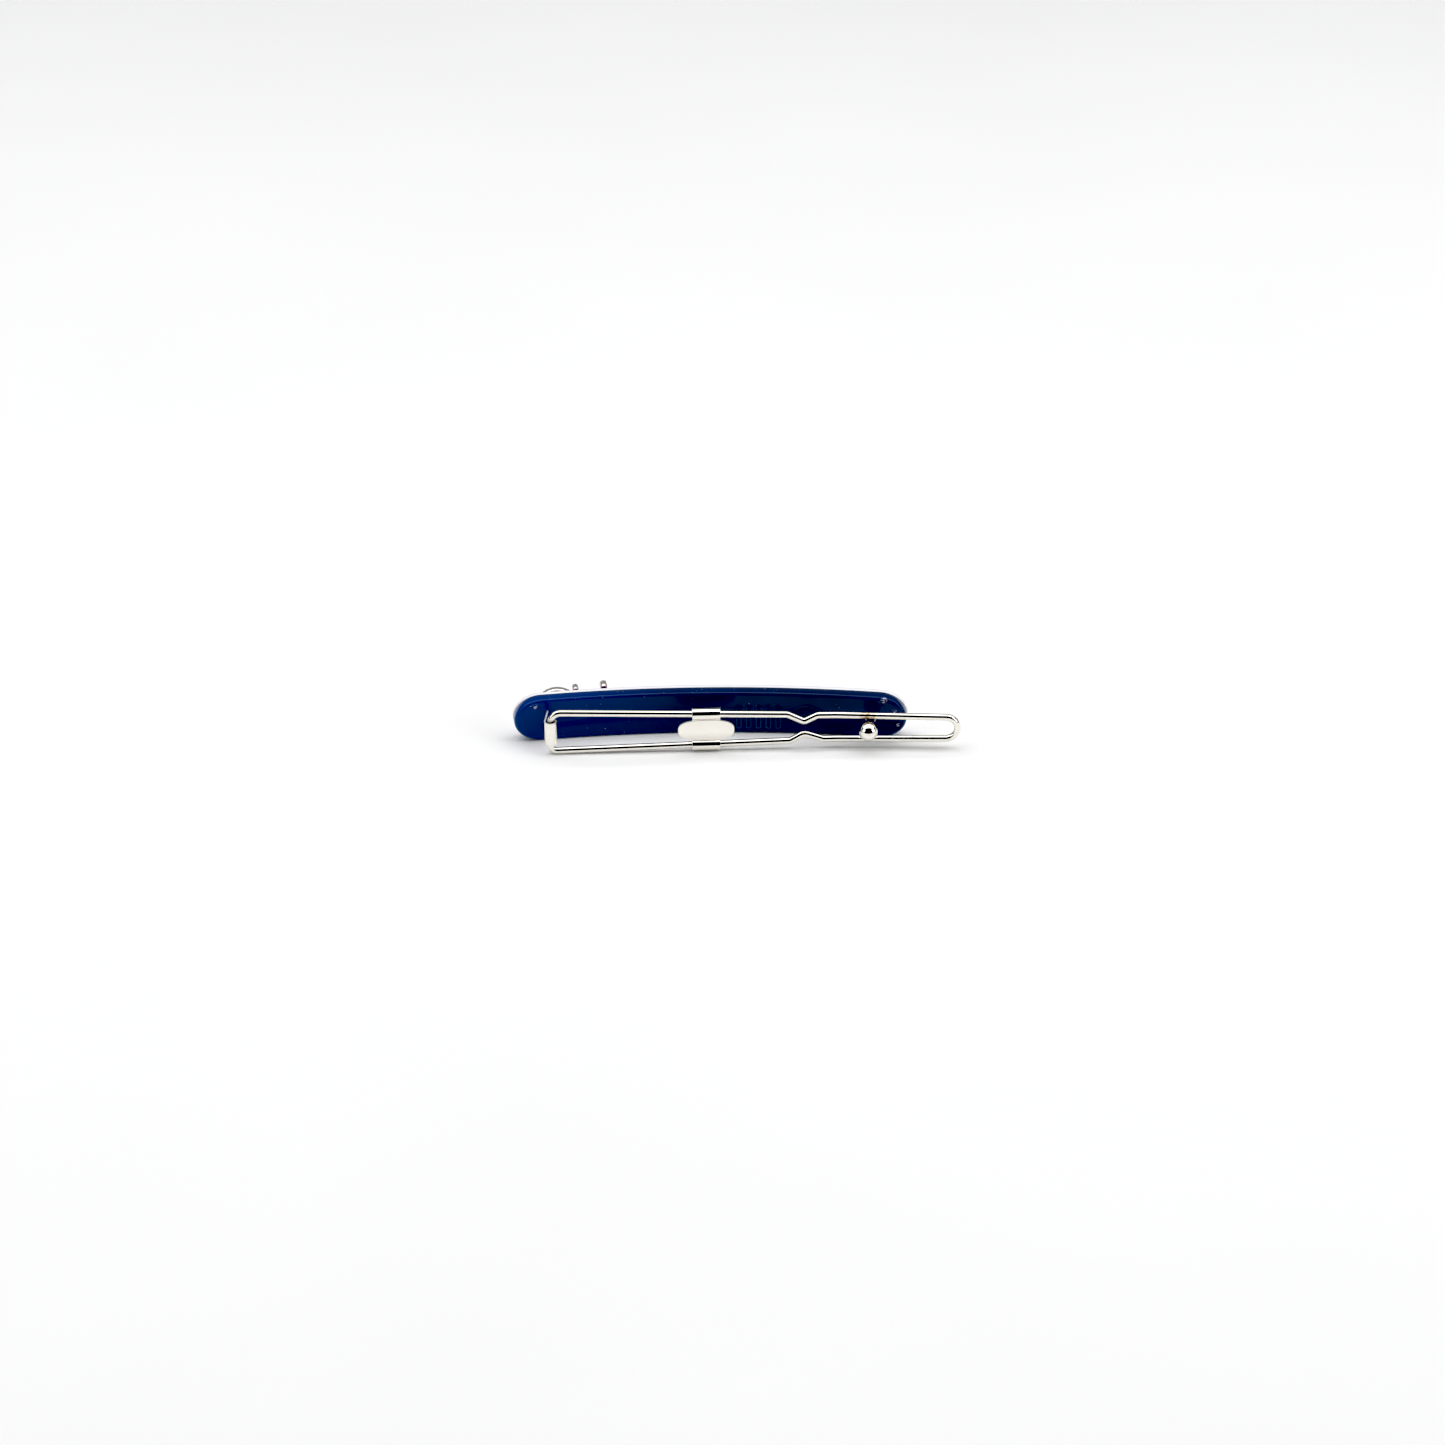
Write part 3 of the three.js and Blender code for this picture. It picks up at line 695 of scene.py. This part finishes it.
class Recipe:
    """One procedural node material, built up by calls that each add a few nodes."""

    def __init__(self, name):
        self.material = bpy.data.materials.new(name)
        self.material.use_nodes = True
        self.nodes = self.material.node_tree.nodes
        self.links = self.material.node_tree.links
        self.shader = self.nodes["Principled BSDF"]
        self.coordinates = self.nodes.new("ShaderNodeTexCoord").outputs["Object"]

    def set(self, **values):
        for key, value in values.items():
            self.shader.inputs[key.replace("_", " ")].default_value = value

    def scaled(self, scale):
        """Object coordinates stretched by a scale along each axis, in cycles per metre."""
        mapping = self.nodes.new("ShaderNodeMapping")
        mapping.inputs["Scale"].default_value = scale
        self.links.new(self.coordinates, mapping.inputs["Vector"])
        return mapping.outputs["Vector"]

    def noise(self, scale, detail=3.0, roughness=0.55, distortion=0.0):
        node = self.nodes.new("ShaderNodeTexNoise")
        node.inputs["Scale"].default_value = 1.0
        node.inputs["Detail"].default_value = detail
        node.inputs["Roughness"].default_value = roughness
        node.inputs["Distortion"].default_value = distortion
        self.links.new(self.scaled(scale), node.inputs["Vector"])
        return node.outputs["Fac"]

    def ramp(self, factor, stops):
        """A colour ramp; stops are (position, colour) with a grey number or an RGB triple."""
        node = self.nodes.new("ShaderNodeValToRGB")
        elements = node.color_ramp.elements
        while len(elements) < len(stops):
            elements.new(0.5)
        for element, (position, colour) in zip(elements, stops):
            element.position = position
            rgb = (colour,) * 3 if isinstance(colour, (int, float)) else colour
            element.color = (*rgb, 1.0)
        self.links.new(factor, node.inputs["Fac"])
        return node.outputs["Color"]

    def mix(self, factor, first, second):
        """The first colour where the factor is 0 and the second where it is 1."""
        node = self.nodes.new("ShaderNodeMix")
        node.data_type = "RGBA"
        sockets = (node.inputs["Factor"], node.inputs[6], node.inputs[7])
        for socket, value in zip(sockets, (factor, first, second)):
            if isinstance(value, bpy.types.NodeSocket):
                self.links.new(value, socket)
            elif isinstance(value, (int, float)):
                socket.default_value = value
            else:
                socket.default_value = (*value, 1.0)
        return node.outputs[2]

    def near(self, centre, inner, outer):
        """1 inside the inner radius round a point and 0 beyond the outer one, in millimetres."""
        distance = self.nodes.new("ShaderNodeVectorMath")
        distance.operation = "DISTANCE"
        distance.inputs[1].default_value = Vector(centre) * MM
        self.links.new(self.coordinates, distance.inputs[0])
        node = self.nodes.new("ShaderNodeMapRange")
        node.interpolation_type = "SMOOTHSTEP"
        node.inputs["From Min"].default_value = inner * MM
        node.inputs["From Max"].default_value = outer * MM
        node.inputs["To Min"].default_value = 1.0
        node.inputs["To Max"].default_value = 0.0
        self.links.new(distance.outputs["Value"], node.inputs["Value"])
        return node.outputs["Result"]

    def math(self, operation, first, second):
        node = self.nodes.new("ShaderNodeMath")
        node.operation = operation
        for socket, value in zip(node.inputs, (first, second)):
            if isinstance(value, bpy.types.NodeSocket):
                self.links.new(value, socket)
            else:
                socket.default_value = value
        return node.outputs[0]

    def height_on_bow(self):
        """Height above the bar's back face, in metres: the distance to the bow's axis less its radius."""
        flat = self.nodes.new("ShaderNodeMapping")
        flat.inputs["Scale"].default_value = (1, 1, 0)
        self.links.new(self.coordinates, flat.inputs["Vector"])
        distance = self.nodes.new("ShaderNodeVectorMath")
        distance.operation = "DISTANCE"
        distance.inputs[1].default_value = (0, -(BOW_RADIUS + BACK_THICKNESS / 2) * MM, 0)
        self.links.new(flat.outputs["Vector"], distance.inputs[0])
        return self.math("SUBTRACT", distance.outputs["Value"], BOW_RADIUS * MM)

    def axis(self, name):
        """One of the object coordinates, X, Y or Z, in metres."""
        split = self.nodes.new("ShaderNodeSeparateXYZ")
        self.links.new(self.coordinates, split.inputs["Vector"])
        return split.outputs[name]

    def away_from_edges(self):
        """1 over the middle of the bar's width and 0 along its two long edges."""
        above = self.smooth_range(self.axis("Z"), 0.6 * MM, 0.8 * MM)
        below = self.smooth_range(self.axis("Z"), (BAR_WIDTH - 0.6) * MM, (BAR_WIDTH - 0.8) * MM)
        return self.math("MULTIPLY", above, below)

    def smooth_range(self, value, start, end):
        """0 below the start, 1 above the end, and smooth between them."""
        node = self.nodes.new("ShaderNodeMapRange")
        node.interpolation_type = "SMOOTHSTEP"
        node.inputs["From Min"].default_value = start
        node.inputs["From Max"].default_value = end
        self.links.new(value, node.inputs["Value"])
        return node.outputs["Result"]

    def bump(self, heights):
        """Chains bumps; heights are (factor, distance in millimetres, strength)."""
        normal = None
        for factor, distance, strength in heights:
            node = self.nodes.new("ShaderNodeBump")
            node.inputs["Distance"].default_value = distance * MM
            node.inputs["Strength"].default_value = strength
            self.links.new(factor, node.inputs["Height"])
            if normal:
                self.links.new(normal, node.inputs["Normal"])
            normal = node.outputs["Normal"]
        self.links.new(normal, self.shader.inputs["Normal"])

    def feed(self, socket, output):
        self.links.new(output, self.shader.inputs[socket])


def dust(r):
    """A mask of tiny pale specks."""
    return r.ramp(r.noise((2300, 2300, 2300), 1, 0.5), [(0.79, 0.0), (0.81, 1.0)])


# Painted highlights on the rounded edge near the bar's ends, drawn as small pale streaks: (place, inner
# radius, outer radius).
PAINTED_END_HIGHLIGHTS = [
    (on_bar(-32.4, 0.1, 7.4), 0.3, 0.8),
    (on_bar(31.8, 0.1, 8.0), 0.25, 0.75),
    (on_bar(33.8, 0.05, 5.8), 0.15, 0.55),
    (on_bar(34.6, 0.05, 3.1), 0.1, 0.5),
]


def navy_acetate():
    """Polished navy acetate with cut grooves, fine lines and dust; painted light makes it lighter towards
    the hinge end, with painted glints on the grooves' lower walls and painted highlights near the bar's
    ends.
    """
    r = Recipe("navy_acetate")
    marbling = r.noise((32, 110, 110), 4, 0.5, 1.2)
    colour = r.ramp(marbling, [(0.3, (0.0, 0.012, 0.052)), (0.7, (0.0, 0.022, 0.108))])
    # Painted light: lighter navy towards the hinge end, standing in for the light that falls on that end.
    painted_light_at_hinge_end = r.smooth_range(r.axis("X"), 5 * MM, -40 * MM)
    colour = r.mix(painted_light_at_hinge_end, colour, (0.0, 0.036, 0.20))
    # The mask below marks the grooves' walls: rougher there, and coloured a lighter teal at their lower
    # ends as a painted glint.
    height = r.height_on_bow()
    below_face = r.smooth_range(height, 0.01 * MM, 0.06 * MM)
    above_bottom = r.smooth_range(height, 0.26 * MM, 0.14 * MM)
    wall = r.math("MULTIPLY", below_face, above_bottom)
    low_end = r.smooth_range(r.axis("Z"), 6.2 * MM, 3.4 * MM)
    milled_wall_and_painted_glint = r.math("MULTIPLY", r.math("MULTIPLY", wall, low_end), r.away_from_edges())
    # Painted glint: lighter teal on the lower groove walls.
    colour = r.mix(milled_wall_and_painted_glint, colour, (0.002, 0.07, 0.21))
    # Painted highlights: pale streaks near the ends, where the rounded edge catches the light.
    highlight_streaks = r.ramp(r.noise((1700, 3000, 4600), 2, 0.5, 0.4), [(0.52, 0.0), (0.57, 1.0)])
    for place in PAINTED_END_HIGHLIGHTS:
        colour = r.mix(r.math("MULTIPLY", r.near(*place), highlight_streaks), colour, (0.75, 0.72, 0.95))
    r.feed("Base Color", r.mix(dust(r), colour, (0.28, 0.32, 0.5)))
    lines = r.noise((90, 3200, 3200), 3, 0.6)
    r.feed("Roughness", r.mix(milled_wall_and_painted_glint, r.ramp(lines, [(0.3, 0.05), (0.8, 0.13)]), (0.3, 0.3, 0.3)))
    r.bump([(lines, 0.003, 0.25), (r.noise((260, 420, 420), 2, 0.5), 0.02, 0.2)])
    r.set(IOR=1.49, Specular_IOR_Level=0.25)
    return r.material


def white_acetate():
    """Polished white acetate with a faintly lilac rounded front edge."""
    r = Recipe("white_acetate")
    mottling = r.noise((120, 300, 300), 3, 0.5, 0.8)
    white = r.ramp(mottling, [(0.3, (0.87, 0.87, 0.90)), (0.7, (0.92, 0.92, 0.94))])
    height = r.height_on_bow()
    edge = r.math("MULTIPLY", r.smooth_range(height, 2.88 * MM, 3.02 * MM),
                  r.smooth_range(height, (FRONT_FACE - 0.01) * MM, (FRONT_FACE - 0.06) * MM))
    r.feed("Base Color", r.mix(edge, white, (0.54, 0.50, 0.74)))
    lines = r.noise((90, 3200, 3200), 3, 0.6)
    r.feed("Roughness", r.ramp(lines, [(0.3, 0.12), (0.8, 0.24)]))
    r.bump([(lines, 0.003, 0.2), (r.noise((260, 420, 420), 2, 0.5), 0.02, 0.2)])
    r.set(IOR=1.49, Specular_IOR_Level=0.3)
    return r.material


BRIGHT = (0.90, 0.87, 0.80)
BRASS = (0.50, 0.31, 0.12)
PAINTED_SHADE = (0.05, 0.045, 0.05)
MARKED = (0.42, 0.36, 0.33)


def nickel(name, grain, smoothness, tint=BRIGHT, brass_near=(), painted_shade_near=(), marked=0.3,
           foot_stain=False):
    """Bright nickel plate with grain lines, soft waviness and small dull marks.

    It shows brass where it is worn through, and on the wire as a painted warm reflection of the ball;
    painted shade, nearly black, where a piece turns into the barrel's mouth; and a dark stain at a foot.
    """
    r = Recipe(name)
    patches = r.noise((420, 420, 420), 3, 0.6)
    colour = r.ramp(patches, [(0.3, tuple(c * 0.95 for c in tint)), (0.7, tint)])
    lines = r.noise(grain, 3, 0.6)
    ragged = r.ramp(r.noise((1500, 1500, 1500), 3, 0.6), [(0.40, 0.0), (0.58, 1.0)])
    marks = r.ramp(r.noise((1100, 1100, 700), 3, 0.65, 0.6), [(0.64, 0.0), (0.69, marked)])
    colour = r.mix(marks, colour, MARKED)
    # Brass colour near given places: wear on the stud, and on the wire a painted warm reflection of the
    # ball.
    for place in brass_near:
        colour = r.mix(r.math("MULTIPLY", r.near(*place), ragged), colour, BRASS)
    # Painted shade: nearly black near given places, where the barrel's mouth lies in shadow.
    for place in painted_shade_near:
        colour = r.mix(r.near(*place), colour, PAINTED_SHADE)
    if foot_stain:
        low = r.smooth_range(r.height_on_bow(), (FRONT_FACE + 0.45) * MM, (FRONT_FACE + 0.25) * MM)
        stain = r.ramp(ragged, [(0.3, (0.03, 0.004, 0.03)), (0.7, (0.14, 0.016, 0.04))])
        colour = r.mix(low, colour, stain)
    r.feed("Base Color", colour)
    r.feed("Roughness", r.ramp(lines, [(0.3, smoothness[0]), (0.75, smoothness[1])]))
    r.bump([(lines, 0.003, 0.25), (r.noise((500, 500, 500), 2, 0.5), 0.02, 0.08)])
    r.set(Metallic=1.0)
    return r.material


def sheared_edge():
    """The dull grey edge of stamped sheet, with the marks of the shear across it."""
    r = Recipe("sheared_nickel")
    marks = r.noise((2600, 2600, 500), 3, 0.6)
    r.feed("Base Color", r.ramp(marks, [(0.3, (0.72, 0.69, 0.64)), (0.7, (0.88, 0.86, 0.81))]))
    r.feed("Roughness", r.ramp(marks, [(0.3, 0.42), (0.75, 0.58)]))
    r.bump([(marks, 0.01, 0.5)])
    r.set(Metallic=0.6)
    return r.material


def crystal_glass():
    """Clear cut crystal with a faint rose tint and a little polishing haze."""
    r = Recipe("crystal")
    tint = r.ramp(r.noise((500, 500, 500), 2, 0.5), [(0.3, (0.93, 0.80, 0.85)), (0.7, (0.98, 0.92, 0.95))])
    r.feed("Base Color", tint)
    r.feed("Roughness", r.ramp(r.noise((1800, 1800, 1800), 2, 0.5), [(0.3, 0.01), (0.75, 0.05)]))
    r.bump([(r.noise((700, 700, 700), 2, 0.5), 0.01, 0.15)])
    r.set(IOR=1.6, Transmission_Weight=0.85)
    return r.material


# ---------- stage, light and camera ----------

def stage():
    """A plain pale floor under the bar's edge."""
    size = 3.0
    mesh = bpy.data.meshes.new("floor")
    corners = [(-size, -size, 0), (size, -size, 0), (size, size, 0), (-size, size, 0)]
    mesh.from_pydata(corners, [], [(0, 1, 2, 3)])
    floor = bpy.data.objects.new("floor", mesh)
    bpy.context.scene.collection.objects.link(floor)
    r = Recipe("floor_paint")
    r.feed("Base Color", r.ramp(r.noise((9, 9, 9), 2, 0.5), [(0.3, 0.93), (0.7, 0.95)]))
    r.set(Roughness=0.7, Specular_IOR_Level=0.2)
    floor.data.materials.append(r.material)


def softbox(name, place, aim, size, power):
    """A rectangular area light, its size in metres and its power in watts."""
    light = bpy.data.lights.new(name, "AREA")
    light.shape = "RECTANGLE"
    light.size, light.size_y = size
    light.energy = power
    lamp = bpy.data.objects.new(name, light)
    lamp.location = place
    lamp.rotation_euler = (Vector(aim) - Vector(place)).to_track_quat("-Z", "Y").to_euler()
    bpy.context.scene.collection.objects.link(lamp)


def lights():
    """A plain light tent: a large softbox overhead, a low one behind and one on each side."""
    world = bpy.data.worlds.new("studio")
    world.use_nodes = True
    background = world.node_tree.nodes["Background"]
    background.inputs["Color"].default_value = (0.7, 0.78, 1.0, 1)
    background.inputs["Strength"].default_value = 0.015
    bpy.context.scene.world = world
    aim = (0, 0, 0)
    softbox("overhead_softbox", (0.0, 0.12, 0.95), aim, (2.6, 0.95), 18)
    softbox("rear_softbox", (0.0, 1.1, 0.40), aim, (2.6, 0.8), 1.2)
    softbox("left_softbox", (-1.0, -0.4, 0.45), aim, (0.7, 0.7), 2.5)
    softbox("right_softbox", (1.0, -0.4, 0.45), aim, (0.7, 0.7), 3.5)


BLACK_LEVEL = 0.023


def tone():
    """A plain view with the deepest shadows set to black, as in a product shot."""
    view = bpy.context.scene.view_settings
    view.view_transform = "Standard"
    view.use_curve_mapping = True
    view.curve_mapping.black_level = (BLACK_LEVEL,) * 3
    view.curve_mapping.update()


def camera():
    """An 85 mm lens, 0.63 m away, 30 degrees above the floor, looking at the clip side."""
    elevation, azimuth = math.radians(30), math.radians(-0.924)
    target = Vector((2.253, 0.0, 1.622)) * MM
    back = Vector((math.sin(azimuth) * math.cos(elevation), -math.cos(azimuth) * math.cos(elevation),
                   math.sin(elevation)))
    data = bpy.data.cameras.new("camera")
    data.lens, data.sensor_width = 85, 36
    data.clip_start = 0.01
    distance = 0.6293
    eye = bpy.data.objects.new("camera", data)
    eye.location = target + back * distance
    eye.rotation_euler = (-back).to_track_quat("-Z", "Y").to_euler()
    bpy.context.scene.collection.objects.link(eye)
    bpy.context.scene.camera = eye


# ---------- the whole scene ----------

camera()
stage()
lights()
tone()

BALL_CENTRE = on_bar(STUD_ALONG, -BALL_HEIGHT, BAR_MID)
BALL_TOP = BALL_CENTRE + Vector((0, 1.3, 1.5))
BARREL_MOUTH = Vector((PIVOT.x, PIVOT.y, BRACKET_HIGH.z))
# The wire's underside over the ball carries a painted warm reflection of the ball, in brass colour.
WIRE_OVER_BALL = BALL_CENTRE + Vector((0, 1.9, 1.9))

back_bar(navy_acetate())
front_layer(white_acetate())
sheared = sheared_edge()
sheet_metal = nickel("sheet_nickel", (2200, 2200, 160), (0.03, 0.09), marked=0.1)
# Painted shade on the bracket round the barrel's mouth.
bracket_metal = nickel("bracket_nickel", (2200, 2200, 160), (0.03, 0.09),
                       painted_shade_near=[(BARREL_MOUTH, 0.75, 1.0)], marked=0.8)
hinge_bracket((bracket_metal, sheared))
catch_stud(nickel("stud_nickel", (900, 900, 900), (0.03, 0.09), brass_near=[(BALL_TOP, 0.5, 1.4)]))
# Painted shade on the wire where it enters the barrel's mouth.
wire_clip(nickel("wire_nickel", (140, 2600, 2600), (0.03, 0.09), brass_near=[(WIRE_OVER_BALL, 1.2, 2.2)],
                 painted_shade_near=[(BARREL_MOUTH, 0.3, 1.1)]))
pressure_plate((sheet_metal, sheared))
sprig_setting(nickel("setting_metal", (800, 800, 800), (0.30, 0.45), (0.84, 0.81, 0.79), foot_stain=True))
glass = crystal_glass()
for name, stone in STONES.items():
    crystal(name, stone, glass)
